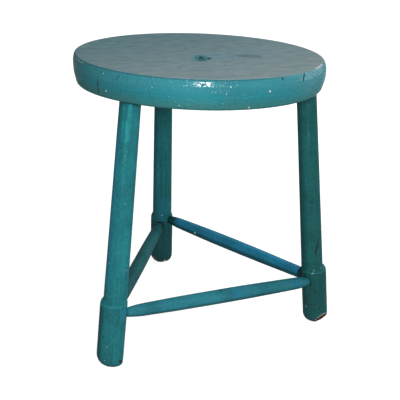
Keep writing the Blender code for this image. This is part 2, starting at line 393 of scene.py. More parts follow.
class LegSettings(bpy.types.PropertyGroup):
    """Sizes of the turned legs."""

    top_diameter: metres("Top diameter", "Diameter of the shaft under the seat", 0.0242)
    lower_diameter: metres("Lower diameter", "Diameter of the shaft above the collar", 0.0276)
    tenon_shoulder: metres("Tenon shoulder", "Width of the shoulder round the tenon", 0.0021)
    collar_step: metres("Collar step", "How far the collar stands out from the shaft", 0.0023)
    collar_depth: metres("Collar depth", "Height of the collar above its crease", 0.0085)
    paint_fillet: fraction("Paint fillet", "Share of the collar's step that paint fills", 0.3)
    crease_width: metres("Crease width", "Width of the crease under the collar", 0.0020)
    crease_depth: metres("Crease depth", "Depth of the crease under the collar", 0.0003)
    foot_offset: metres("Foot offset", "How far the foot's axis stands out from the shaft's", 0.0020)
    tenon_chamfer: metres("Tenon chamfer", "Chamfer at the end of the tenon", 0.0008)
    socket_width: metres("Socket width", "Width of the worn mouth round a stretcher's end", 0.0012)
    socket_depth: metres("Socket depth", "Depth of the worn mouth round a stretcher's end", 0.0009)
    unevenness: metres("Unevenness", "Depth of the hollows of hand work", 0.00025)
    ring_spacing: metres("Ring spacing", "Longest step along a leg", 0.0016)
    sides: count("Sides", "Steps round a leg", 112)


class StretcherSettings(bpy.types.PropertyGroup):
    """Sizes of the barrel-shaped stretchers."""

    diameter: metres("Diameter", "Diameter at the middle of the barrel", 0.0180)
    neck_diameter: metres("Neck diameter", "Diameter where the nose begins", 0.0158)
    nose_length: metres("Nose length", "Length of the rounded nose at each end", 0.026)
    tenon_diameter: metres("Tenon diameter", "Diameter of the tenon at each end", 0.008)
    tenon_length: metres("Tenon length", "Length of the tenon at each end", 0.0075)
    tenon_shoulder: metres("Tenon shoulder", "Width of the shoulder round the tenon", 0.0016)
    unevenness: metres("Unevenness", "Depth of the hollows of hand work", 0.00030)
    step_length: metres("Step length", "Longest step along a stretcher", 0.0022)
    sides: count("Sides", "Steps round a stretcher", 64)


class PaintSettings(bpy.types.PropertyGroup):
    """Colours and gloss of the paint and of what shows through it."""

    seat_colour: tint("Seat", "Paint on the seat's edge", (0.025, 0.203, 0.243))
    # Painted shade: the edge's colour lower down, darker where its side turns away from the light
    seat_low_shade_colour: tint("Seat, low", "Darker paint lower on the seat's edge", (0.003, 0.168, 0.202))
    leg_colour: tint("Legs", "Paint on the legs", (0.013, 0.160, 0.180))
    stretcher_colour: tint("Stretchers", "Paint on the stretchers", (0.024, 0.180, 0.222))
    blue_colour: tint("Right stretcher", "Bluer paint on the right stretcher", (0.019, 0.208, 0.345))
    # Painted shade and dirt: the dark band at the seat's lower edge
    underside_shade_and_dirt_colour: tint("Lower edge", "Dirty paint at the seat's lower edge", (0.020, 0.132, 0.128))
    # Painted sheen in part: both top colours are greyer than the edge's paint, the worn one paler still
    top_colour: tint("Top", "Dull paint on the seat's top", (0.090, 0.203, 0.230))
    worn_and_sheen_colour: tint("Worn top", "Paler paint where the top is rubbed", (0.232, 0.308, 0.326))
    blue_tint: tint("Stain", "Bluish stain beside the knot", (0.138, 0.285, 0.352))
    fresh_colour: tint("Fresh paint", "Paint that pooled in the knot", (0.010, 0.165, 0.205))
    primer_colour: tint("Primer", "Pale undercoat in chips", (0.62, 0.66, 0.62))
    wood_colour: tint("Bare wood", "Wood where paint has broken away", (0.095, 0.028, 0.014))
    grime_colour: tint("Grime", "Dirt in cracks and creases", (0.006, 0.014, 0.016))
    edge_roughness: fraction("Edge roughness", "Roughness of the seat's edge", 0.24)
    top_roughness: fraction("Top roughness", "Roughness of the seat's top", 0.42)
    leg_roughness: fraction("Leg roughness", "Roughness of the legs and stretchers", 0.34)
    sheen_level: fraction("Sheen", "Strength of the paint's soft reflections", 0.001)
    coat: fraction("Seat gloss", "Weight of the seat's hard gloss coat", 0.050)
    leg_coat: fraction("Leg gloss", "Weight of the legs' and stretchers' gloss coat", 0.017)
    coat_index: plain_number("Gloss index", "Refractive index of the gloss coat", 3.8)
    bare_roughness: fraction("Bare roughness", "Roughness where paint has broken away", 0.8)
    coat_roughness: fraction("Gloss roughness", "Roughness of the gloss coat", 0.14)


class StageSettings(bpy.types.PropertyGroup):
    """Camera, lights and floor."""

    camera_place: position("Camera", "Place of the camera", (-0.42473, -0.89434, 0.52215))
    camera_yaw: radians("Yaw", "Turn of the view from +Y towards +X", 0.45708)
    camera_pitch: radians("Pitch", "Rise of the view above the horizon", -0.35766)
    camera_roll: radians("Roll", "Turn of the picture about the view", 0.03761)
    lens: plain_number("Lens", "Focal length in millimetres", 73.855)
    key_place: position("Key light", "Place of the key light", (-0.36, -0.93, 0.58))
    key_size: metres("Key size", "Width of the key light", 0.16)
    key_power: watts("Key power", "Power of the key light", 9.4)
    window_place: position("Window light", "Place of the broad light on the right", (2.00, 0.10, 0.95))
    window_size: metres("Window size", "Width of the broad light", 1.6)
    window_power: watts("Window power", "Power of the broad light", 42.0)
    back_place: position("Back light", "Place of the light behind and above the stool", (0.60, 1.15, 1.75))
    back_size: metres("Back size", "Width of the light behind", 1.0)
    back_power: watts("Back power", "Power of the light behind", 12.0)
    sky_strength: plain_number("Sky", "Strength of the light all round", 0.07)
    sky_colour: tint("Sky colour", "Colour of the light all round", (1.0, 1.0, 1.0))
    floor_colour: tint("Floor", "Colour of the floor", (0.45, 0.45, 0.45))
    floor_glow: plain_number("Floor glow", "Share of white that the floor shows under the stool", 0.80)
    shadow_reach: metres("Shadow reach", "Distance past which the floor is all white", 1.5)
    floor_size: metres("Floor size", "Width of the floor", 40.0)


# The solids' places


class Stance(NamedTuple):
    """A turned piece's own frame, with Z along its axis, and its lengths along that axis."""

    frame: Matrix
    shoulder: float
    end: float


def node_points(name):
    """The corners of a solid, each once."""
    corners = {tuple(round(value, 6) for value in vertex.co) for vertex in frame["nodes"][name].data.vertices}
    return [Vector(corner) for corner in sorted(corners)]


def middle(points):
    """The mean of these points."""
    points = list(points)
    return sum(points, Vector()) / len(points)


def seat_top():
    """The middle of the seat's top."""
    low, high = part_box("seat")
    return Vector(((low.x + high.x) / 2, (low.y + high.y) / 2, high.z))


def leg_stance(name):
    """A leg's frame: origin where its axis meets the floor, Z up the leg, X towards the outside."""
    points = node_points(name)
    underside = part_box("seat")[0].z
    tenon = middle(point for point in points if point.z > underside)
    shoulder_height = max(point.z for point in points if point.z < underside)
    shoulder = middle(point for point in points if abs(point.z - shoulder_height) < SAME_PLACE)
    axis = (tenon - shoulder).normalized()
    floor_point = shoulder - axis * (shoulder.z / axis.z)
    outward = floor_point - seat_top()
    side = axis.cross(Vector((outward.x, outward.y, 0.0))).normalized()
    stand = Matrix((side.cross(axis), side, axis)).transposed().to_4x4()
    stand.translation = floor_point
    end = max((point - floor_point).dot(axis) for point in points)
    return Stance(stand, (shoulder - floor_point).length, end)


def stretcher_stance(name, tenon_length):
    """A stretcher's frame: origin at its middle, Z towards its second leg."""
    points = node_points(name)
    centre = middle(points)
    second_leg = middle(node_points(RODS[name].legs[1]))
    towards = max(points, key=lambda point: (point - centre).dot(second_leg - centre))
    rough_axis = (towards - centre).normalized()
    reach = max((point - centre).dot(rough_axis) for point in points)
    cap = middle(point for point in points if (point - centre).dot(rough_axis) > reach - tenon_length / 10)
    foot = 2 * centre - cap
    first_shift, second_shift = (Vector(END_SHIFTS.get((name, leg), NO_SHIFT)) for leg in RODS[name].legs)
    run = cap + second_shift - foot - first_shift
    turn = run.to_track_quat("Z", "Y").to_matrix().to_4x4()
    stand = Matrix.Translation(foot + first_shift + run / 2) @ turn
    end = run.length / 2
    return Stance(stand, end - tenon_length, end)


# Mesh helpers


def spin_profile(shape, profile, sides):
    """Turns a half section about Z into a closed surface."""
    verts = [shape.verts.new((radius, 0.0, height)) for radius, height in profile]
    edges = [shape.edges.new(pair) for pair in zip(verts, verts[1:])]
    bmesh.ops.spin(
        shape, geom=verts + edges, cent=(0, 0, 0), axis=(0, 0, 1), angle=math.tau, steps=sides, use_merge=True
    )
    bmesh.ops.remove_doubles(shape, verts=shape.verts, dist=SAME_PLACE)


def ease(value, start, end):
    """0 before start and 1 after end, with a smooth rise between them."""
    share = min(max((value - start) / (end - start), 0.0), 1.0)
    return share * share * (3 - 2 * share)


def rough(point, waves):
    """The sum of some noises at a point, each given by its size and its scale."""
    return sum(size * noise.noise(point * scale) for size, scale in waves)


def finished(shape, name, material):
    """Puts a shape on the stool's body in place of the solid of its name."""
    bmesh.ops.recalc_face_normals(shape, faces=shape.faces)
    mesh = bpy.data.meshes.new(name)
    shape.to_mesh(mesh)
    shape.free()
    mesh.shade_smooth()
    mesh.materials.append(material)
    piece = bpy.data.objects.new("painted_" + name, mesh)
    bpy.context.scene.collection.objects.link(piece)
    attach(piece, "root")
    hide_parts(name)


# Paint helpers, with lengths in metres
BRUSH_RELIEF = 0.0002
RIPPLE_RELIEF = 0.0006


class PaintTree:
    """The nodes of a paint or of the sky. Most methods add nodes and return the socket with their result."""

    def __init__(self, owner):
        owner.use_nodes = True
        self.owner = owner
        self.nodes = owner.node_tree.nodes
        self.links = owner.node_tree.links
        self.colour = None

    def feed(self, socket, value):
        """Links a socket to another, or sets its value."""
        if isinstance(value, bpy.types.NodeSocket):
            self.links.new(value, socket)
        else:
            socket.default_value = value

    def add(self, kind, inputs, **settings):
        node = self.nodes.new(kind)
        for name, value in settings.items():
            setattr(node, name, value)
        for key, value in inputs.items():
            self.feed(node.inputs[key], value)
        return node

    def math(self, operation, *values, clamp=False):
        inputs = dict(enumerate(values))
        return self.add("ShaderNodeMath", inputs, operation=operation, use_clamp=clamp).outputs["Value"]

    def times(self, first, second):
        return self.math("MULTIPLY", first, second)

    def plus(self, first, second):
        return self.math("ADD", first, second)

    def minus(self, first, second):
        return self.math("SUBTRACT", first, second)

    def apart(self, first, second):
        """How far two values are apart."""
        return self.math("ABSOLUTE", self.minus(first, second))

    def waved(self, value, waves, size):
        """A value made uneven by waves of this size."""
        return self.math("MULTIPLY_ADD", waves, size, value)

    def vector(self, operation, *values):
        inputs = dict(enumerate(values))
        if operation == "SCALE":
            inputs = {0: values[0], "Scale": values[1]}
        return self.add("ShaderNodeVectorMath", inputs, operation=operation).outputs["Vector"]

    def measure(self, operation, *values):
        """A length, distance or product of vectors."""
        return self.add("ShaderNodeVectorMath", dict(enumerate(values)), operation=operation).outputs["Value"]

    def fade(self, value, start, end, low=0.0, high=1.0):
        """From low to high as the value goes from start to end."""
        inputs = {"Value": value, "From Min": start, "From Max": end, "To Min": low, "To Max": high}
        return self.add("ShaderNodeMapRange", inputs, interpolation_type="SMOOTHSTEP").outputs["Result"]

    def mix(self, share, first, second):
        """The second colour over the first."""
        inputs = {0: share, 6: first, 7: second}
        return self.add("ShaderNodeMix", inputs, data_type="RGBA").outputs[2]

    def cover(self, share, colour):
        """Lays a colour over the paint by this share."""
        self.colour = self.mix(share, self.colour, colour)

    def noise(self, place, scale, detail=2.0):
        inputs = {"Vector": place, "Scale": scale, "Detail": detail}
        return self.add("ShaderNodeTexNoise", inputs).outputs["Fac"]

    def stretched_noise(self, place, scales, detail):
        """Noise with its own scale along each axis."""
        return self.noise(self.vector("MULTIPLY", place, scales), 1.0, detail)

    def local(self, stand):
        """Object coordinates, taken to a piece's own frame."""
        coordinates = self.add("ShaderNodeTexCoord", {}).outputs["Object"]
        inputs = {"Vector": coordinates, "Location": stand.translation, "Rotation": stand.to_euler()}
        return self.add("ShaderNodeMapping", inputs, vector_type="TEXTURE").outputs["Vector"]

    def split(self, place):
        node = self.add("ShaderNodeSeparateXYZ", {"Vector": place})
        return node.outputs["X"], node.outputs["Y"], node.outputs["Z"]

    def join(self, x, y, z):
        return self.add("ShaderNodeCombineXYZ", {"X": x, "Y": y, "Z": z}).outputs["Vector"]

    def attribute(self, name):
        return self.add("ShaderNodeAttribute", {}, attribute_name=name).outputs["Fac"]

    def any_of(self, masks):
        """The strongest of these masks."""
        strongest = masks[0]
        for mask in masks[1:]:
            strongest = self.math("MAXIMUM", strongest, mask)
        return strongest

    def near_fleck(self, place, fleck, reach):
        """1 on a spot of the seat's edge, whose radius is the reach."""
        centre = bearing_direction(fleck.bearing) * reach - Vector((0.0, 0.0, fleck.below))
        gap = self.measure("DISTANCE", place, centre)
        return self.fade(gap, fleck.radius, fleck.radius * 0.6)

    def near_stroke(self, place, stroke):
        """1 along a stroke, fading to 0 at its sides."""
        run = Vector(stroke.end) - Vector(stroke.start)
        from_start = self.vector("SUBTRACT", place, stroke.start)
        along = self.measure("DOT_PRODUCT", from_start, run / run.length_squared)
        share = self.math("ADD", along, 0.0, clamp=True)
        nearest = self.add(
            "ShaderNodeVectorMath", {0: run, 1: share, 2: stroke.start}, operation="MULTIPLY_ADD"
        ).outputs["Vector"]
        gap = self.measure("DISTANCE", place, nearest)
        return self.fade(gap, stroke.width, stroke.width * 0.4)

    def near_strokes(self, place, strokes):
        """1 along any of these strokes."""
        return self.any_of([self.near_stroke(place, stroke) for stroke in strokes])

    def specks(self, place, scale, size, share):
        """Small round specks in this share of the cells of a scattered pattern."""
        cells = self.add("ShaderNodeTexVoronoi", {"Vector": place, "Scale": scale})
        chosen = self.math("LESS_THAN", self.split(cells.outputs["Color"])[0], share)
        near = self.fade(cells.outputs["Distance"], size, size * 0.6)
        return self.times(chosen, near)

    def wander(self, place, scale, reach):
        """Places that stray from their own, for ragged outlines."""
        inputs = {"Vector": place, "Scale": scale, "Detail": 2.0}
        cloud = self.add("ShaderNodeTexNoise", inputs).outputs["Color"]
        stray = self.vector("SUBTRACT", cloud, (0.5, 0.5, 0.5))
        return self.vector("ADD", place, self.vector("SCALE", stray, reach))

    def seen(self):
        """1 for what the camera sees, also in reflections and through glass."""
        rays = self.add("ShaderNodeLightPath", {}).outputs
        return self.any_of([rays["Is Camera Ray"], rays["Is Glossy Ray"], rays["Is Transmission Ray"]])

    def bump(self, height, distance, strength, normal=None):
        inputs = {"Height": height, "Distance": distance, "Strength": strength}
        if normal is not None:
            inputs["Normal"] = normal
        return self.add("ShaderNodeBump", inputs).outputs["Normal"]

    def brushed(self, place, brush):
        """Ripples of thick paint with the streaks of the brush over them."""
        ripples = self.fade(self.noise(place, 240, detail=3), 0.42, 0.78)
        return self.bump(brush, BRUSH_RELIEF, 0.5, self.bump(ripples, RIPPLE_RELIEF, 0.7))

    def finish(self, paint, roughness, normal, coat):
        """Hands the paint to the material's shader."""
        shader = self.nodes["Principled BSDF"]
        self.feed(shader.inputs["Base Color"], self.colour)
        self.feed(shader.inputs["Roughness"], roughness)
        self.feed(shader.inputs["Normal"], normal)
        self.feed(shader.inputs["Coat Normal"], normal)
        shader.inputs["Specular IOR Level"].default_value = paint.sheen_level
        shader.inputs["Coat Weight"].default_value = coat
        shader.inputs["Coat IOR"].default_value = paint.coat_index
        shader.inputs["Coat Roughness"].default_value = paint.coat_roughness
        return self.owner


def opaque(colour):
    """A colour with full cover."""
    return (*colour, 1.0)


def shaded(colour, share):
    """A colour made lighter or darker by this share."""
    return opaque(channel * share for channel in colour)


def toned(colour, tone):
    """A colour with its own share of each channel."""
    return [channel * share for channel, share in zip(colour, tone)]


# Seat, with lengths in metres and noise scales per metre
TOWARDS_RIGHT = (0.90, -0.44, 0.0)
TOWARDS_FRONT = (0.32, -0.95, 0.0)
# Depths over which the painted shade on the edge deepens
EDGE_DARKENS = (-0.005, -0.020)
# Reach towards the right of the painted sheen on the edge's right end
SHEEN_PALE_END = (0.085, 0.150)
# Heights above the underside of the band of dirt and painted shade
LOWER_SHADE_AND_DIRT = (0.020, 0.005)
LOWER_SHADE_AND_DIRT_WAVES = 0.008
DARK_ARRIS = (0.0009, 0.0002)
DARK_ARRIS_ENDS = (0.11, 0.06)
# Spread and reach of the pale bits along the top's edge
PALE_BIT_SPREAD = (0.0011, 0.0006)
PALE_BIT_REACH = 0.0016
# Reach of the top's wear and painted sheen, from back to front
TOP_WEAR_AND_SHEEN = (-0.15, 0.15)
CRACK_STRAY = 0.0022
STAIN_STRAY = 0.0120
CHIP_STRAY = 0.0010
CHIP_INSET = 0.0005
SEAT_RIPPLE = 0.0007
GRAIN_RELIEF = 0.0005
GRAIN_WAVES = 0.022
KNOT_WOBBLE = ((0.22, 180), (0.12, 520))
CHECK_NOISE = 300
CHECK_CUTS = 7
KNOT_CUTS = 3
SWELL_REACH = (0.85, 0.95)
FOOT_WEAR_DROP = (0.55, 1.0)
BROAD_HOLLOWS = 24
FINE_HOLLOWS = 60


def seat_profile(seat, radius, thickness):
    """The half section from the middle of the top, at height 0, to the middle of the underside."""
    top_steps, crown_steps, side_steps, lower_steps, under_steps = 70, 12, 20, 8, 24
    crown_start = 2 * seat.arris_round / (seat.arris_setback + seat.widest_below_top)
    arris = radius - seat.arris_setback
    points = [(arris * step / top_steps, 0.0) for step in range(top_steps)]
    points.append((arris, 0.0))
    for step in range(crown_steps + 1):
        drop = crown_start + (1 - crown_start) * step / crown_steps
        inset = seat.crown_flatness * (1 - drop) + (1 - seat.crown_flatness) * (1 - drop)**6
        points.append((radius - seat.arris_setback * inset, -seat.widest_below_top * drop))
    lower_edge = radius - seat.belly_setback
    side_height = thickness - seat.widest_below_top - seat.lower_round
    for step in range(1, side_steps):
        drop = step / side_steps
        points.append((radius - seat.belly_setback * drop**2, -seat.widest_below_top - side_height * drop))
    for step in range(lower_steps + 1):
        angle = math.pi / 2 * step / lower_steps
        reach = lower_edge - seat.lower_round * (1 - math.cos(angle))
        points.append((reach, seat.lower_round * (1 - math.sin(angle)) - thickness))
    under_edge = lower_edge - seat.lower_round
    points += [(under_edge * (1 - step / under_steps), -thickness) for step in range(1, under_steps + 1)]
    return points


def round_arris(shape, seat, radius):
    """Softens the edge between the top and the side."""
    arris = radius - seat.arris_setback
    level = [vert for vert in shape.verts if abs(vert.co.z) < SAME_PLACE]
    on_rim = {vert for vert in level if vert.co.xy.length > arris - SAME_PLACE}
    edges = [edge for edge in shape.edges if on_rim.issuperset(edge.verts)]
    bmesh.ops.bevel(
        shape, geom=edges, offset=seat.arris_round, offset_type="OFFSET", segments=4, profile=0.5,
        affect="EDGES", material=-1,
    )


def refine(shape, wanted, cuts):
    """Divides the faces whose middle is wanted."""
    faces = [face for face in shape.faces if wanted(face.calc_center_median())]
    edges = list(dict.fromkeys(edge for face in faces for edge in face.edges))
    bmesh.ops.subdivide_edges(shape, edges=edges, cuts=cuts, use_grid_fill=True)


def bearing_direction(bearing):
    """The level direction at this bearing from +X in degrees."""
    angle = math.radians(bearing)
    return Vector((math.cos(angle), math.sin(angle), 0.0))


def open_check(shape, seat, check, radius, check_field):
    """Opens one drying crack in the seat's edge, tapering at both ends."""
    bearing = (check.upper_bearing + check.lower_bearing) / 2
    out = bearing_direction(bearing)
    across = Vector((-out.y, out.x, 0.0))
    lean = math.radians(check.lower_bearing - check.upper_bearing) * radius
    reach = 2 * seat.check_width + abs(lean)
    edge = radius - 2 * seat.arris_setback

    def close(point):
        beside = abs(point.dot(across)) < reach and point.dot(out) > edge
        return beside and -check.lower - seat.check_width < point.z < -check.upper + seat.check_width

    refine(shape, close, CHECK_CUTS)
    for vert in shape.verts:
        if not close(vert.co):
            continue
        share = (-vert.co.z - check.upper) / (check.lower - check.upper)
        crooked = noise.noise(Vector((0.0, bearing, vert.co.z * CHECK_NOISE)))
        wander = lean * (share - 0.5) + seat.check_width / 6 * crooked
        width = seat.check_width / 2 * ease(share, 0.0, 0.25) * (1 - ease(share, 0.7, 1.0))
        if width <= 0:
            continue
        deep = max(0.0, 1 - abs(vert.co.dot(across) - wander) / width)
        vert.co -= out * (deep * seat.check_width / 2)
        vert[check_field] = max(vert[check_field], deep)


def hollow_knot(shape, seat, knot_field, eye_field):
    """Sinks the knot into the top: a shallow hollow with deeper openings in it."""
    place = Vector((*seat.knot_place, 0.0))
    along = Vector((math.cos(seat.knot_turn), math.sin(seat.knot_turn), 0.0))
    across = Vector((along.y, -along.x, 0.0))

    def spread(point, centre_across, centre_along, width, length):
        beside = ((point - place).dot(across) - centre_across) / width
        beyond = ((point - place).dot(along) - centre_along) / length
        return math.hypot(beside, beyond)

    def close(point):
        return point.z > -SAME_PLACE and spread(point, 0.0, 0.0, seat.knot_width, seat.knot_length) < 1.5

    refine(shape, close, KNOT_CUTS)
    for vert in shape.verts:
        vert[knot_field] = vert[eye_field] = -1.0
        if not close(vert.co):
            continue
        start = vert.co.copy()
        wobble = 1 + rough(start, KNOT_WOBBLE)
        hollow = wobble * spread(start, 0.0, 0.0, seat.knot_width, seat.knot_length)
        vert.co.z -= seat.knot_depth * (1 - ease(hollow, 0.3, 1.0))
        vert[knot_field] = 1 - hollow
        for eye in KNOT_EYES:
            opening = wobble * spread(start, *eye)
            vert.co.z -= seat.knot_depth * (1 - ease(opening, 0.5, 1.0))
            vert[eye_field] = max(vert[eye_field], 1 - opening)


def swell_edge(shape, radius, thickness):
    """Turns the edge a little out of round, where the board stands out or its lower edge is worn."""
    for vert in shape.verts:
        reach = vert.co.xy.length
        drop = -vert.co.z / thickness
        outer = ease(reach, *(share * radius for share in SWELL_REACH))
        if outer == 0:
            continue
        for swell in SEAT_SWELLS:
            apart = math.degrees(vert.co.xy.angle(bearing_direction(swell.bearing).xy))
            near = outer * (1 - ease(apart, 0, swell.spread))
            foot = swell.foot * ease(drop, *FOOT_WEAR_DROP)
            shift = near * (swell.waist * math.sin(math.pi * drop) + foot)
            vert.co.xy *= 1 + shift / reach


def uneven(shape, seat):
    """Gives the board the slight hollows of hand-planed wood under thick paint."""
    for vert in shape.verts:
        broad = noise.noise(vert.co * BROAD_HOLLOWS)
        fine = noise.noise(vert.co * FINE_HOLLOWS + Vector((3, 1, 4)))
        share = 0.5 + (broad + 0.5 * fine) / 3
        sunk = seat.unevenness * min(max(share, 0.0), 1.0)
        if vert.co.z > -seat.arris_setback:
            vert.co.z -= sunk
        elif vert.co.xy.length > 0:
            vert.co.xy *= 1 - sunk / vert.co.xy.length


def build_seat(seat, paint):
    """Turns the seat, then cracks, hollows and wears it."""
    low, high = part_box("seat")
    radius = (high.x - low.x) / 2
    thickness = high.z - low.z
    shape = bmesh.new()
    check_field = shape.verts.layers.float.new("check")
    knot_field = shape.verts.layers.float.new("knot")
    eye_field = shape.verts.layers.float.new("eye")
    spin_profile(shape, seat_profile(seat, radius, thickness), seat.sides)
    round_arris(shape, seat, radius)
    for check in SEAT_CHECKS:
        open_check(shape, seat, check, radius, check_field)
    hollow_knot(shape, seat, knot_field, eye_field)
    uneven(shape, seat)
    swell_edge(shape, radius, thickness)
    bmesh.ops.translate(shape, verts=shape.verts, vec=seat_top())
    finished(shape, "seat", seat_paint(seat, paint, radius, thickness))


def edge_colour(tree, seat, paint, place, thickness):
    """Glossy paint round the edge, blotchy and brushed round it, with painted shade lower down, dirt and
    painted shade at the lower edge, and painted sheen at its right end.
    """
    z = tree.split(place)[2]
    tone = tree.noise(place, 16, detail=4)
    brush = tree.stretched_noise(place, (16, 16, 600), detail=3)
    # Painted shade: the edge grows darker lower down
    low = tree.fade(z, *EDGE_DARKENS)
    tree.colour = tree.mix(low, opaque(paint.seat_colour), opaque(paint.seat_low_shade_colour))
    tree.cover(tree.fade(tone, 0.5, 0.2, 0.0, 0.5), shaded(paint.seat_colour, 0.65))
    tree.cover(tree.fade(tone, 0.5, 0.8, 0.0, 0.5), shaded(paint.seat_colour, 1.25))
    tree.cover(tree.fade(brush, 0.45, 0.75, 0.0, 0.25), shaded(paint.seat_colour, 1.3))
    # Painted sheen: the edge's right end is mixed towards the pale top colour
    rightward = tree.measure("DOT_PRODUCT", place, TOWARDS_RIGHT)
    wear_and_sheen = tree.times(tree.fade(rightward, *SHEEN_PALE_END), tree.fade(tone, 0.2, 0.6, 0.03, 0.13))
    tree.cover(wear_and_sheen, opaque(paint.worn_and_sheen_colour))
    # Dirt and painted shade: a ragged dark band along the lower edge
    ragged = tree.waved(z, tree.noise(place, 60, detail=4), LOWER_SHADE_AND_DIRT_WAVES)
    lower = tree.fade(ragged, *(height - thickness for height in LOWER_SHADE_AND_DIRT), 0.0, 0.9)
    tree.cover(lower, opaque(paint.underside_shade_and_dirt_colour))
    arris = tree.fade(tree.apart(z, -seat.arris_round), *DARK_ARRIS, 0.0, 0.4)
    tree.cover(tree.times(arris, tree.fade(rightward, *DARK_ARRIS_ENDS)), shaded(paint.seat_colour, 0.35))
    tree.cover(tree.times(tree.near_strokes(place, EDGE_SCRATCHES), 0.6), opaque(paint.grime_colour))
    tree.cover(tree.specks(place, 130, 0.10, 0.03), shaded(paint.seat_colour, 0.4))
    tree.cover(tree.fade(tree.attribute("check"), 0.0, 0.3), opaque(paint.grime_colour))
    return tree.colour


def arris_pale_bits(tree, place, past_arris):
    """1 in ragged pale bits along the top's edge."""
    x, y, z = tree.split(place)
    from_front = tree.math("ARCTAN2", x, tree.times(y, -1.0))
    ragged = tree.fade(tree.noise(place, 330, detail=3), 0.46, 0.56)
    outer = tree.times(ragged, tree.math("GREATER_THAN", past_arris, -PALE_BIT_REACH))
    bits = []
    for pale_bit in ARRIS_PALE_BITS:
        begun = tree.math("GREATER_THAN", from_front, math.radians(pale_bit.first))
        ended = tree.math("GREATER_THAN", from_front, math.radians(pale_bit.last))
        level = tree.fade(tree.apart(z, -pale_bit.below), *PALE_BIT_SPREAD)
        span = tree.times(tree.minus(begun, ended), level)
        bits.append(tree.times(tree.times(span, outer), pale_bit.strength))
    return tree.any_of(bits)


def top_colour(tree, paint, place, grain):
    """Paint on the top, greyed by wear and painted sheen and paler towards the front, with dark pores, cracks
    and the knot.
    """
    mottle = tree.stretched_noise(place, (55, 95, 55), detail=4)
    # Wear and painted sheen: the top turns paler and greyer towards the front
    frontward = tree.measure("DOT_PRODUCT", place, TOWARDS_FRONT)
    wear_and_sheen = tree.plus(tree.fade(frontward, *TOP_WEAR_AND_SHEEN, 0.15, 0.9), tree.fade(mottle, 0.2, 0.8, -0.3, 0.3))
    tree.colour = tree.mix(wear_and_sheen, opaque(paint.top_colour), opaque(paint.worn_and_sheen_colour))
    tree.cover(tree.fade(grain, 0.48, 0.74, 0.0, 0.28), shaded(paint.top_colour, 0.6))

    blue = tree.times(tree.near_stroke(place, BLUE_STAIN), tree.fade(mottle, 0.3, 0.7, 0.2, 0.6))
    tree.cover(blue, opaque(paint.blue_tint))
    stain = tree.near_stroke(tree.wander(place, 90, STAIN_STRAY), SEAT_STAIN)
    tree.cover(tree.times(stain, 0.42), shaded(paint.top_colour, 0.35))
    marks = tree.near_strokes(tree.wander(place, 160, CRACK_STRAY), SEAT_CRACKS + SEAT_SPOTS)
    tree.cover(tree.times(marks, 0.6), shaded(paint.top_colour, 0.15))

    ragged = tree.fade(tree.noise(place, 420, detail=3), 0.3, 0.7, -0.25, 0.25)
    knot = tree.plus(tree.attribute("knot"), ragged)
    tree.cover(tree.fade(knot, -0.25, 0.45), opaque(paint.fresh_colour))
    eye = tree.attribute("eye")
    tree.cover(tree.fade(eye, 0.02, 0.30), shaded(paint.fresh_colour, 0.15))
    # Painted highlight: a pale spot at the middle of the knot's openings
    tree.cover(tree.fade(eye, 0.66, 0.80), shaded(paint.fresh_colour, 1.6))
    return tree.colour


def seat_grain(tree, seat, x, y):
    """Wavy grain along X that flows round the knot, as streamlines pass a post."""
    along = tree.minus(x, seat.knot_place[0])
    across = tree.minus(y, seat.knot_place[1])
    from_knot = tree.join(along, across, 0.0)
    gap = tree.plus(tree.measure("DOT_PRODUCT", from_knot, from_knot), seat.knot_length**2 / 4)
    bend = tree.math("DIVIDE", seat.knot_length**2, gap)
    flow = tree.times(across, tree.minus(1.0, bend))
    waves = tree.noise(tree.join(tree.times(x, 16), tree.times(y, 10), 0.0), 1.0)
    flow = tree.waved(flow, waves, GRAIN_WAVES)
    return tree.noise(tree.join(tree.times(x, 12), tree.times(flow, 130), 0.0), 1.0, detail=4)


def seat_paint(seat, paint, radius, thickness):
    """Thick brushed paint: dull and grainy on top, glossy round the edge, with a knot, cracks and chips."""
    tree = PaintTree(bpy.data.materials.new("seat_paint"))
    place = tree.local(Matrix.Translation(seat_top()))
    x, y, z = tree.split(place)
    reach = tree.measure("LENGTH", tree.join(x, y, 0.0))
    arris = radius - seat.arris_setback
    inside = tree.fade(reach, arris + seat.arris_round / 2, arris - seat.arris_round / 2)
    on_top = tree.times(inside, tree.math("GREATER_THAN", z, -thickness / 2))
    grain = seat_grain(tree, seat, x, y)
    edge = edge_colour(tree, seat, paint, place, thickness)
    tree.colour = tree.mix(on_top, edge, top_colour(tree, paint, place, grain))
    torn = tree.wander(place, 700, CHIP_STRAY)
    chips = [tree.near_fleck(torn, fleck, radius - CHIP_INSET) for fleck in EDGE_FLECKS]
    chips.append(arris_pale_bits(tree, place, tree.minus(reach, arris)))
    tree.cover(tree.any_of(chips), opaque(paint.primer_colour))
    fresh = tree.fade(tree.attribute("knot"), 0.02, 0.22)
    dull = tree.times(on_top, tree.minus(1.0, fresh))
    roughness = tree.fade(dull, 0.0, 1.0, paint.edge_roughness, paint.top_roughness)
    ripple = tree.fade(tree.noise(place, 300, detail=3), 0.50, 0.80)
    normal = tree.bump(ripple, SEAT_RIPPLE, tree.fade(on_top, 0.0, 1.0, 0.9, 0.15))
    normal = tree.bump(grain, GRAIN_RELIEF, tree.times(on_top, 0.35), normal)
    return tree.finish(paint, roughness, normal, paint.coat)


# Legs, with lengths in metres and noise scales per metre
# Heights about the shoulder of the painted shadow under the seat
UNDER_SEAT_SHADE = (-0.004, 0.008)
UNDER_SEAT_SHADE_WAVES = 0.012
# Width of the painted highlight band on the collar
COLLAR_HIGHLIGHT = (0.0016, 0.0004)
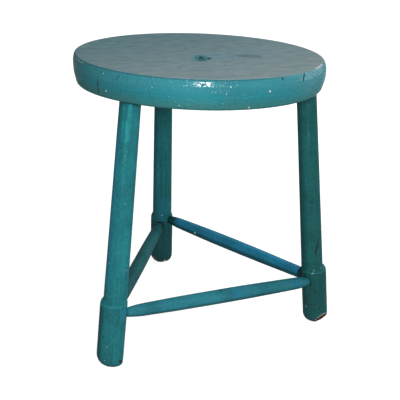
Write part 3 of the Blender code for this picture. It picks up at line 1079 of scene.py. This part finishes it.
# Heights about the collar's top over which the foot's painted shade sets in
FOOT_SHADE = (0.01, -0.02)
BASE_DIRT = (0.0038, 0.0022)
OPEN_MOUTH = (0.0023, 0.0011)
PRIMER_SHOWS = (0.0002, 0.0004)
WOOD_SHOWS = (0.0008, 0.0010)
WOOD_DARKENS = (0.0034, 0.0048)
PAINT_STRAY = 0.003
TURNED_ACROSS = 40
TURNED_ALONG = 26
LEG_SEED = 50
BREAK_WAVES = ((0.0007, 300), (0.0004, 800))


def filled(rings, spacing):
    """These rings with others between them, so that no step along the leg is longer than the spacing."""
    close = [rings[0]]
    for before, ring in zip(rings, rings[1:]):
        steps = max(1, math.ceil((ring.height - before.height) / spacing))
        for step in range(1, steps + 1):
            share = step / steps
            close.append(Ring(*(first + (second - first) * share for first, second in zip(before, ring))))
    return close


def leg_rings(legs, stance, leg):
    """A leg's rings from the floor up: worn foot, crease, collar, shaft, shoulder and tenon."""
    arc_steps = 12
    shaft = legs.lower_diameter / 2
    collar = shaft + legs.collar_step
    foot = leg.foot
    worn_side = bearing_direction(foot.wear_turn) * foot.wear
    rings = []
    for step in range(arc_steps + 1):
        angle = math.pi / 2 * step / arc_steps
        eased = 1 - math.sin(angle)
        offset = legs.foot_offset - worn_side.x * eased
        height = foot.round_height * (1 - math.cos(angle))
        radius = collar - foot.round_width * eased
        rings.append(Ring(radius, offset, -worn_side.y * eased, height, 1 - step / arc_steps))
    crease = leg.collar_top - legs.collar_depth
    rings.append(Ring(collar, legs.foot_offset, 0.0, crease - legs.crease_width / 2, 0.0))
    rings.append(Ring(collar - legs.crease_depth, legs.foot_offset, 0.0, crease, 0.0))
    rise = legs.collar_depth - legs.crease_width / 2
    fillet_rise = legs.collar_step * legs.paint_fillet * 2
    above_crease = []
    for step in range(arc_steps + 1):
        angle = math.pi / 2 * step / arc_steps
        if math.cos(angle) > legs.paint_fillet:
            above_crease.append((math.cos(angle), crease + legs.crease_width / 2 + rise * math.sin(angle)))
    for step in range(1, arc_steps + 1):
        stand_out = legs.paint_fillet * (1 - step / arc_steps)**2
        above_crease.append((stand_out, leg.collar_top + fillet_rise * step / arc_steps))
    for stand_out, height in above_crease:
        radius = shaft + legs.collar_step * stand_out
        rings.append(Ring(radius, legs.foot_offset * stand_out, 0.0, height, 0.0))
    tenon = legs.top_diameter / 2 - legs.tenon_shoulder
    rings.append(Ring(legs.top_diameter / 2, 0.0, 0.0, stance.shoulder, 1.0))
    rings.append(Ring(tenon, 0.0, 0.0, stance.shoulder, 1.0))
    rings.append(Ring(tenon, 0.0, 0.0, stance.end - legs.tenon_chamfer, 0.0))
    rings.append(Ring(tenon - legs.tenon_chamfer, 0.0, 0.0, stance.end, 0.0))
    return filled(rings, legs.ring_spacing)


def draw_leg(shape, rings, up, sides):
    """Draws a circle up the leg, ring by ring, with the level rings tilted to lie flat."""
    before = Ring(1.0, 0.0, 0.0, 0.0, 0.0)
    verts = bmesh.ops.create_circle(shape, cap_ends=True, radius=before.radius, segments=sides)["verts"]
    edges = list(shape.edges)
    for number, ring in enumerate(rings):
        if number:
            drawn = bmesh.ops.extrude_edge_only(shape, edges=edges)["geom"]
            verts = [item for item in drawn if isinstance(item, bmesh.types.BMVert)]
            edges = [item for item in drawn if isinstance(item, bmesh.types.BMEdge)]
        growth = ring.radius / before.radius
        for vert in verts:
            x = ring.offset + (vert.co.x - before.offset) * growth
            y = ring.sideways + (vert.co.y - before.sideways) * growth
            vert.co = (x, y, ring.height - ring.level * (up.x * x + up.y * y) / up.z)
        before = ring
    bmesh.ops.edgeloop_fill(shape, edges=edges)


def wear_socket(shape, legs, stretcher, end_radius, towards, joint_field):
    """Opens a worn mouth round a stretcher's end and notes how far each point is from its side."""
    mouth = stretcher.frame.translation + towards * stretcher.shoulder
    for vert in shape.verts:
        away = vert.co - mouth
        depth = away.dot(towards)
        gap = (away - towards * depth).length
        if gap > 4 * end_radius or depth > legs.lower_diameter / 2:
            continue
        vert[joint_field] = min(vert[joint_field], gap - end_radius)
        open_share = 1 - ease(gap, end_radius, end_radius + legs.socket_width)
        vert.co += towards * (legs.socket_depth * open_share)


def break_foot(shape, chip, foot, radius, chip_field):
    """Flattens the foot's edge to a rough broken face."""
    down = math.radians(chip.downward)
    out = bearing_direction(chip.bearing) * math.cos(down) - Vector((0, 0, math.sin(down)))
    reach = max((vert.co - foot).dot(out) for vert in shape.verts if vert.co.z < radius)
    for vert in shape.verts:
        if vert.co.z > 2 * radius:
            continue
        beyond = (vert.co - foot).dot(out) - (reach - chip.depth) + rough(vert.co, BREAK_WAVES)
        vert[chip_field] = max(vert[chip_field], beyond + chip.peel)
        if beyond > 0:
            vert.co -= out * beyond
            vert.co.z = max(vert.co.z, 0.0)


def shave(shape, depth, seed):
    """Gives a turned piece, drawn along Z, the slight hollows of hand work."""
    for vert in shape.verts:
        reach = vert.co.xy.length
        if reach > depth:
            waves = Vector((vert.co.x * TURNED_ACROSS, vert.co.y * TURNED_ACROSS, vert.co.z * TURNED_ALONG))
            share = 0.5 + noise.noise(waves + seed) / 2
            vert.co.xy *= 1 - depth * share / reach


def build_legs(legs, stretchers, paint):
    """Draws the legs, wears their joints and breaks their feet."""
    stances = {name: stretcher_stance(name, stretchers.tenon_length) for name in RODS}
    for name, leg in LEGS.items():
        stance = leg_stance(name)
        shape = bmesh.new()
        joint_field = shape.verts.layers.float.new("joint")
        chip_field = shape.verts.layers.float.new("chip")
        up = stance.frame.to_3x3().transposed() @ UPWARD
        draw_leg(shape, leg_rings(legs, stance, leg), up, legs.sides)
        shave(shape, legs.unevenness, stance.frame.translation * LEG_SEED)
        for vert in shape.verts:
            vert[joint_field] = legs.lower_diameter
            vert[chip_field] = -legs.lower_diameter
        bmesh.ops.transform(shape, matrix=stance.frame, verts=shape.verts)
        for rod_name, rod in RODS.items():
            if (rod_name, name) in OPEN_JOINTS:
                axis = stances[rod_name].frame.to_3x3() @ UPWARD
                towards = axis if name == rod.legs[1] else -axis
                end_radius = shoulder_radius(stretchers, rod_name, name)
                wear_socket(shape, legs, stances[rod_name], end_radius, towards, joint_field)
        for chip in leg.chips:
            break_foot(shape, chip, stance.frame.translation, legs.lower_diameter / 2, chip_field)
        for vert in shape.verts:
            vert.co.z = max(vert.co.z, 0.0)
        finished(shape, name, leg_paint(legs, paint, name, stance))


def leg_paint(legs, paint, name, stance):
    """Paint brushed along the leg, with painted shade under the seat and down one side and painted
    highlights, broken at the joints and the foot.
    """
    leg = LEGS[name]
    tree = PaintTree(bpy.data.materials.new(name + "_paint"))
    place = tree.local(stance.frame)
    z = tree.split(place)[2]
    base = toned(paint.leg_colour, leg.tone)
    tone = tree.noise(place, 24, detail=4)
    brush = tree.stretched_noise(place, (320, 320, 9), detail=3)
    tree.colour = tree.mix(tree.fade(tone, 0.3, 0.7), shaded(base, 0.80), shaded(base, 1.18))
    tree.cover(tree.fade(brush, 0.48, 0.72, 0.0, 0.5), shaded(base, 1.45))
    tree.cover(tree.fade(brush, 0.45, 0.25, 0.0, 0.5), shaded(base, 0.6))
    # Painted shadow: the top of the leg darkens just under the seat
    high = tree.waved(z, tree.noise(place, 60, detail=3), UNDER_SEAT_SHADE_WAVES)
    tree.cover(tree.fade(high, *(stance.shoulder + height for height in UNDER_SEAT_SHADE)), shaded(base, 0.3))

    speckle = tree.noise(place, 280, detail=3)
    tree.cover(tree.fade(speckle, 0.50, 0.70, 0.0, 0.4), shaded(base, 0.62))
    tree.cover(tree.fade(speckle, 0.48, 0.30, 0.0, 0.3), shaded(base, 1.5))
    if leg.blues:
        blues = tree.times(tree.near_strokes(place, leg.blues), tree.fade(brush, 0.3, 0.6, 0.10, 0.45))
        tree.cover(blues, shaded(paint.blue_colour, leg.tone[1]))
    # Painted highlights: pale streaks where gloss would catch the light
    patchy_highlight = tree.fade(tree.plus(brush, speckle), 0.85, 1.15, 0.0, 0.55)
    tree.cover(tree.times(tree.near_strokes(place, leg.painted_highlights), patchy_highlight), shaded(base, 1.8))
    # Painted shade: each leg's side away from the light is darkened
    tree.cover(tree.times(tree.near_strokes(place, leg.shaded_sides), leg.side_shade), shaded(base, 0.45))

    # Painted highlight: a pale band on the collar's rounded shoulder
    collar = tree.fade(tree.apart(z, leg.collar_top - legs.collar_depth / 2), *COLLAR_HIGHLIGHT)
    tree.cover(tree.times(collar, tree.fade(tone, 0.3, 0.6, 0.15, 0.45)), shaded(base, 2.2))
    # Painted shade: the foot darkens below its collar
    low = tree.fade(z, *(leg.collar_top + height for height in FOOT_SHADE))
    tree.cover(tree.times(low, leg.foot.painted_shade), shaded(base, 0.3))
    grit = tree.times(low, tree.fade(tree.noise(place, 330, detail=3), 0.54, 0.68))
    tree.cover(tree.times(grit, leg.foot.grit), shaded(paint.wood_colour, 0.45))
    floor_dirt = tree.fade(tree.waved(z, speckle, PAINT_STRAY), *BASE_DIRT, 0.0, 0.8)
    tree.cover(floor_dirt, opaque(paint.grime_colour))
    if leg.scratches:
        tree.cover(tree.near_strokes(place, leg.scratches), shaded(paint.wood_colour, 0.25))
    # Pale flecks in primer colour, a few of them painted highlights on the collars
    tree.cover(tree.times(tree.near_strokes(place, leg.flecks), 0.4), opaque(paint.primer_colour))

    joint = tree.waved(tree.attribute("joint"), speckle, PAINT_STRAY)
    mouth = tree.fade(joint, *OPEN_MOUTH, 0.0, 0.85)
    splintered = tree.fade(speckle, 0.45, 0.60)
    tree.cover(mouth, tree.mix(splintered, opaque(paint.grime_colour), shaded(paint.wood_colour, 0.35)))
    chip = tree.waved(tree.attribute("chip"), tree.minus(speckle, 0.5), PAINT_STRAY)
    broken = tree.fade(chip, *PRIMER_SHOWS)
    flaked = tree.times(broken, tree.fade(tree.noise(place, 500), 0.44, 0.60, 0.1, 1.0))
    tree.cover(flaked, opaque(paint.primer_colour))
    tree.cover(tree.fade(chip, *WOOD_SHOWS), opaque(paint.wood_colour))
    tree.cover(tree.fade(chip, *WOOD_DARKENS), shaded(paint.wood_colour, 0.5))

    roughness = tree.fade(tree.any_of([mouth, broken]), 0.0, 1.0, paint.leg_roughness, paint.bare_roughness)
    return tree.finish(paint, roughness, tree.brushed(place, brush), paint.leg_coat)


# Stretchers, with lengths in metres and noise scales per metre
# Height over which the painted shade on a rod's lower side fades in
LOWER_SHADE_BLEND = 0.005
LOWER_SHADE_WAVES = 0.002
# Distance from the shoulder at which the darker end is at full strength
DARKENED_END_FULL = 0.008
STRETCHER_SEED = 70
BARE_BLEND = (0.0010, 0.0020)


def shoulder_radius(stretchers, name, leg):
    """Half the width of a stretcher's end at a leg."""
    return BLUNT_ENDS.get((name, leg), stretchers.tenon_diameter / 2 + stretchers.tenon_shoulder)


def half_profile(stretchers, stance, end_radius):
    """The half section from a tenon's end to just before the stretcher's middle."""
    tenon = stretchers.tenon_diameter / 2
    neck_radius = stretchers.neck_diameter / 2
    neck = stance.shoulder - stretchers.nose_length
    swell = stretchers.diameter / 2 - neck_radius
    half = [(0.0, stance.end), (tenon, stance.end), (tenon, stance.shoulder)]
    nose_steps = math.ceil(stretchers.nose_length / stretchers.step_length)
    for step in range(nose_steps + 1):
        along = 1 - step / nose_steps
        reach = neck_radius - (neck_radius - end_radius) * along**2
        half.append((reach, neck + stretchers.nose_length * along))
    barrel_steps = math.ceil(neck / stretchers.step_length)
    for step in range(1, barrel_steps):
        along = 1 - step / barrel_steps
        half.append((neck_radius + swell * (1 - along**2), neck * along))
    return half


def stretcher_profile(stretchers, name, stance):
    """The half section from the second leg's tenon to the first leg's."""
    first, second = (
        half_profile(stretchers, stance, shoulder_radius(stretchers, name, leg)) for leg in RODS[name].legs
    )
    return second + [(stretchers.diameter / 2, 0.0)] + [(reach, -height) for reach, height in reversed(first)]


def build_stretchers(stretchers, paint):
    """Turns the stretchers and lays them between the legs."""
    for name in RODS:
        stance = stretcher_stance(name, stretchers.tenon_length)
        shape = bmesh.new()
        spin_profile(shape, stretcher_profile(stretchers, name, stance), stretchers.sides)
        shave(shape, stretchers.unevenness, stance.frame.translation * STRETCHER_SEED)
        bmesh.ops.transform(shape, matrix=stance.frame, verts=shape.verts)
        finished(shape, name, stretcher_paint(paint, name, stance))


def stretcher_paint(paint, name, stance):
    """Paint brushed along the rod, broken away at the loose ends."""
    rod = RODS[name]
    tree = PaintTree(bpy.data.materials.new(name + "_paint"))
    place = tree.local(stance.frame)
    z = tree.split(place)[2]
    base = toned(paint.blue_colour if name == "stretcher_right" else paint.stretcher_colour, rod.tone)
    tone = tree.noise(place, 26, detail=4)
    brush = tree.stretched_noise(place, (420, 420, 12), detail=3)
    tree.colour = tree.mix(tree.fade(tone, 0.3, 0.7), shaded(base, 0.80), shaded(base, 1.18))
    tree.cover(tree.fade(brush, 0.45, 0.72, 0.0, 0.3), shaded(base, 1.4))
    tree.cover(tree.fade(brush, 0.45, 0.25, 0.0, 0.35), shaded(base, 0.6))
    speckle = tree.noise(place, 280, detail=3)
    tree.cover(tree.fade(speckle, 0.50, 0.70, 0.0, 0.35), shaded(base, 0.62))
    for dab in rod.dabs:
        near = tree.fade(tree.apart(z, dab.along), dab.reach, dab.reach / 3)
        streaky = tree.times(near, tree.fade(brush, 0.3, 0.6, 0.1, 0.4))
        tree.cover(streaky, shaded(paint.blue_colour, rod.tone[1]))

    # Painted shade: the rod's lower side is darkened towards the leg colour
    up = stance.frame.to_3x3().transposed() @ UPWARD
    up.z = 0.0
    height = tree.waved(tree.measure("DOT_PRODUCT", place, up.normalized()), tone, LOWER_SHADE_WAVES)
    lower = tree.fade(height, rod.lower_shade_limit + LOWER_SHADE_BLEND, rod.lower_shade_limit, 0.0, rod.lower_shade_share)
    tree.cover(lower, shaded(paint.leg_colour, 0.30))
    ragged = tree.times(speckle, PAINT_STRAY)
    from_middle = (tree.minus(ragged, z), tree.plus(ragged, z))
    # The second end turns darker over this length, towards the leg colour
    if rod.darkened_end:
        darkened = tree.fade(from_middle[1], stance.shoulder - rod.darkened_end, stance.shoulder - DARKENED_END_FULL)
        tree.cover(darkened, shaded(paint.leg_colour, 0.30))
    splintered = tree.fade(speckle, 0.50, 0.64)
    wood = tree.mix(splintered, shaded(paint.leg_colour, 0.20), shaded(paint.wood_colour, 0.3))
    for length, reach in zip(rod.bare_ends, from_middle):
        if length:
            bare = tree.fade(reach, *(stance.shoulder - length + blend for blend in BARE_BLEND))
            tree.cover(bare, wood)
    for dot in rod.dots:
        tree.cover(tree.near_stroke(place, dot), opaque(paint.grime_colour))
    for fleck in rod.flecks:
        tree.cover(tree.near_stroke(place, fleck), opaque(paint.primer_colour))
    return tree.finish(paint, paint.leg_roughness, tree.brushed(place, brush), paint.leg_coat)


# Stage, with the sensor in millimetres
SENSOR_WIDTH = 36.0


def place_camera(stage):
    """A camera at its place, turned, raised and rolled."""
    turn, rise, roll = stage.camera_yaw, stage.camera_pitch, stage.camera_roll
    forward = Vector((math.sin(turn) * math.cos(rise), math.cos(turn) * math.cos(rise), math.sin(rise)))
    right = Vector((math.cos(turn), -math.sin(turn), 0.0))
    up = right.cross(forward)
    rolled_right = right * math.cos(roll) + up * math.sin(roll)
    rolled_up = up * math.cos(roll) - right * math.sin(roll)
    axes = (rolled_right, rolled_up, -forward)
    camera = bpy.data.objects.new("camera", bpy.data.cameras.new("camera"))
    camera.data.lens = stage.lens
    camera.data.sensor_width = SENSOR_WIDTH
    camera.matrix_world = Matrix.Translation(stage.camera_place) @ Matrix(axes).transposed().to_4x4()
    bpy.context.scene.collection.objects.link(camera)
    bpy.context.scene.camera = camera


def place_light(name, place, size, power):
    """A soft square light, turned to the middle of the stool."""
    light = bpy.data.lights.new(name, "AREA")
    light.size = size
    light.energy = power
    lamp = bpy.data.objects.new(name, light)
    low, high = (Vector(corner) for corner in CAD_BOX)
    aim = (low + high) / 2 - Vector(place)
    lamp.matrix_world = Matrix.Translation(place) @ aim.to_track_quat("-Z", "Y").to_matrix().to_4x4()
    bpy.context.scene.collection.objects.link(lamp)


def light_sky(stage):
    """An even soft light from all round, that looks white, also in reflections."""
    sky = PaintTree(bpy.data.worlds.new("sky"))
    background = sky.nodes["Background"]
    background.inputs["Color"].default_value = opaque(stage.sky_colour)
    sky.feed(background.inputs["Strength"], sky.fade(sky.seen(), 0.0, 1.0, stage.sky_strength, 1.0))
    bpy.context.scene.world = sky.owner


def lay_floor(stage):
    """A pale floor that looks white where nothing shades it, also in reflections."""
    shape = bmesh.new()
    bmesh.ops.create_grid(shape, x_segments=1, y_segments=1, size=stage.floor_size / 2)
    mesh = bpy.data.meshes.new("floor")
    shape.to_mesh(mesh)
    shape.free()
    tree = PaintTree(bpy.data.materials.new("floor_white"))
    shader = tree.nodes["Principled BSDF"]
    shader.inputs["Base Color"].default_value = opaque(stage.floor_colour)
    shader.inputs["Roughness"].default_value = 1.0
    shader.inputs["Specular IOR Level"].default_value = 0.0
    shader.inputs["Emission Color"].default_value = opaque((1.0, 1.0, 1.0))
    away = tree.measure("LENGTH", tree.add("ShaderNodeTexCoord", {}).outputs["Object"])
    glow = tree.fade(away, stage.shadow_reach / 4, stage.shadow_reach, stage.floor_glow, 1.0)
    tree.feed(shader.inputs["Emission Strength"], tree.times(tree.seen(), glow))
    mesh.materials.append(tree.owner)
    floor = bpy.data.objects.new("floor", mesh)
    bpy.context.scene.collection.objects.link(floor)


# Operators and panel


class STOOL_OT_seat(bpy.types.Operator):
    """Builds the painted seat"""

    bl_idname = "stool.seat"
    bl_label = "Build the seat"

    def execute(self, context):
        build_seat(context.scene.stool_seat, context.scene.stool_paint)
        return {"FINISHED"}


class STOOL_OT_legs(bpy.types.Operator):
    """Builds the painted legs"""

    bl_idname = "stool.legs"
    bl_label = "Build the legs"

    def execute(self, context):
        scene = context.scene
        build_legs(scene.stool_legs, scene.stool_stretchers, scene.stool_paint)
        return {"FINISHED"}


class STOOL_OT_stretchers(bpy.types.Operator):
    """Builds the painted stretchers"""

    bl_idname = "stool.stretchers"
    bl_label = "Build the stretchers"

    def execute(self, context):
        build_stretchers(context.scene.stool_stretchers, context.scene.stool_paint)
        return {"FINISHED"}


class STOOL_OT_stage(bpy.types.Operator):
    """Sets up the camera, the lights and the floor"""

    bl_idname = "stool.stage"
    bl_label = "Set the stage"

    def execute(self, context):
        stage = context.scene.stool_stage
        place_camera(stage)
        place_light("key_light", stage.key_place, stage.key_size, stage.key_power)
        place_light("window_light", stage.window_place, stage.window_size, stage.window_power)
        place_light("back_light", stage.back_place, stage.back_size, stage.back_power)
        light_sky(stage)
        lay_floor(stage)
        context.scene.view_settings.view_transform = "Standard"
        return {"FINISHED"}


class STOOL_PT_sidebar(bpy.types.Panel):
    """Lists the stool's settings and the steps that build it"""

    bl_idname = "STOOL_PT_sidebar"
    bl_label = "Painted stool"
    bl_space_type = "VIEW_3D"
    bl_region_type = "UI"
    bl_category = "Stool"

    def draw(self, context):
        for name in SETTINGS:
            box = self.layout.box()
            settings = getattr(context.scene, name)
            for key in settings.bl_rna.properties.keys():
                if key not in ("rna_type", "name"):
                    box.prop(settings, key)
        for operator in OPERATORS:
            self.layout.operator(operator.bl_idname)


SETTINGS = {
    "stool_seat": SeatSettings,
    "stool_legs": LegSettings,
    "stool_stretchers": StretcherSettings,
    "stool_paint": PaintSettings,
    "stool_stage": StageSettings,
}
OPERATORS = (STOOL_OT_seat, STOOL_OT_legs, STOOL_OT_stretchers, STOOL_OT_stage)
CLASSES = (*SETTINGS.values(), *OPERATORS, STOOL_PT_sidebar)


def register():
    for made in CLASSES:
        bpy.utils.register_class(made)
    for name, settings in SETTINGS.items():
        setattr(bpy.types.Scene, name, PointerProperty(type=settings))


def unregister():
    for name in SETTINGS:
        delattr(bpy.types.Scene, name)
    for made in reversed(CLASSES):
        bpy.utils.unregister_class(made)


def main():
    register()
    bpy.ops.stool.seat()
    bpy.ops.stool.legs()
    bpy.ops.stool.stretchers()
    bpy.ops.stool.stage()


if __name__ == "__main__":
    main()
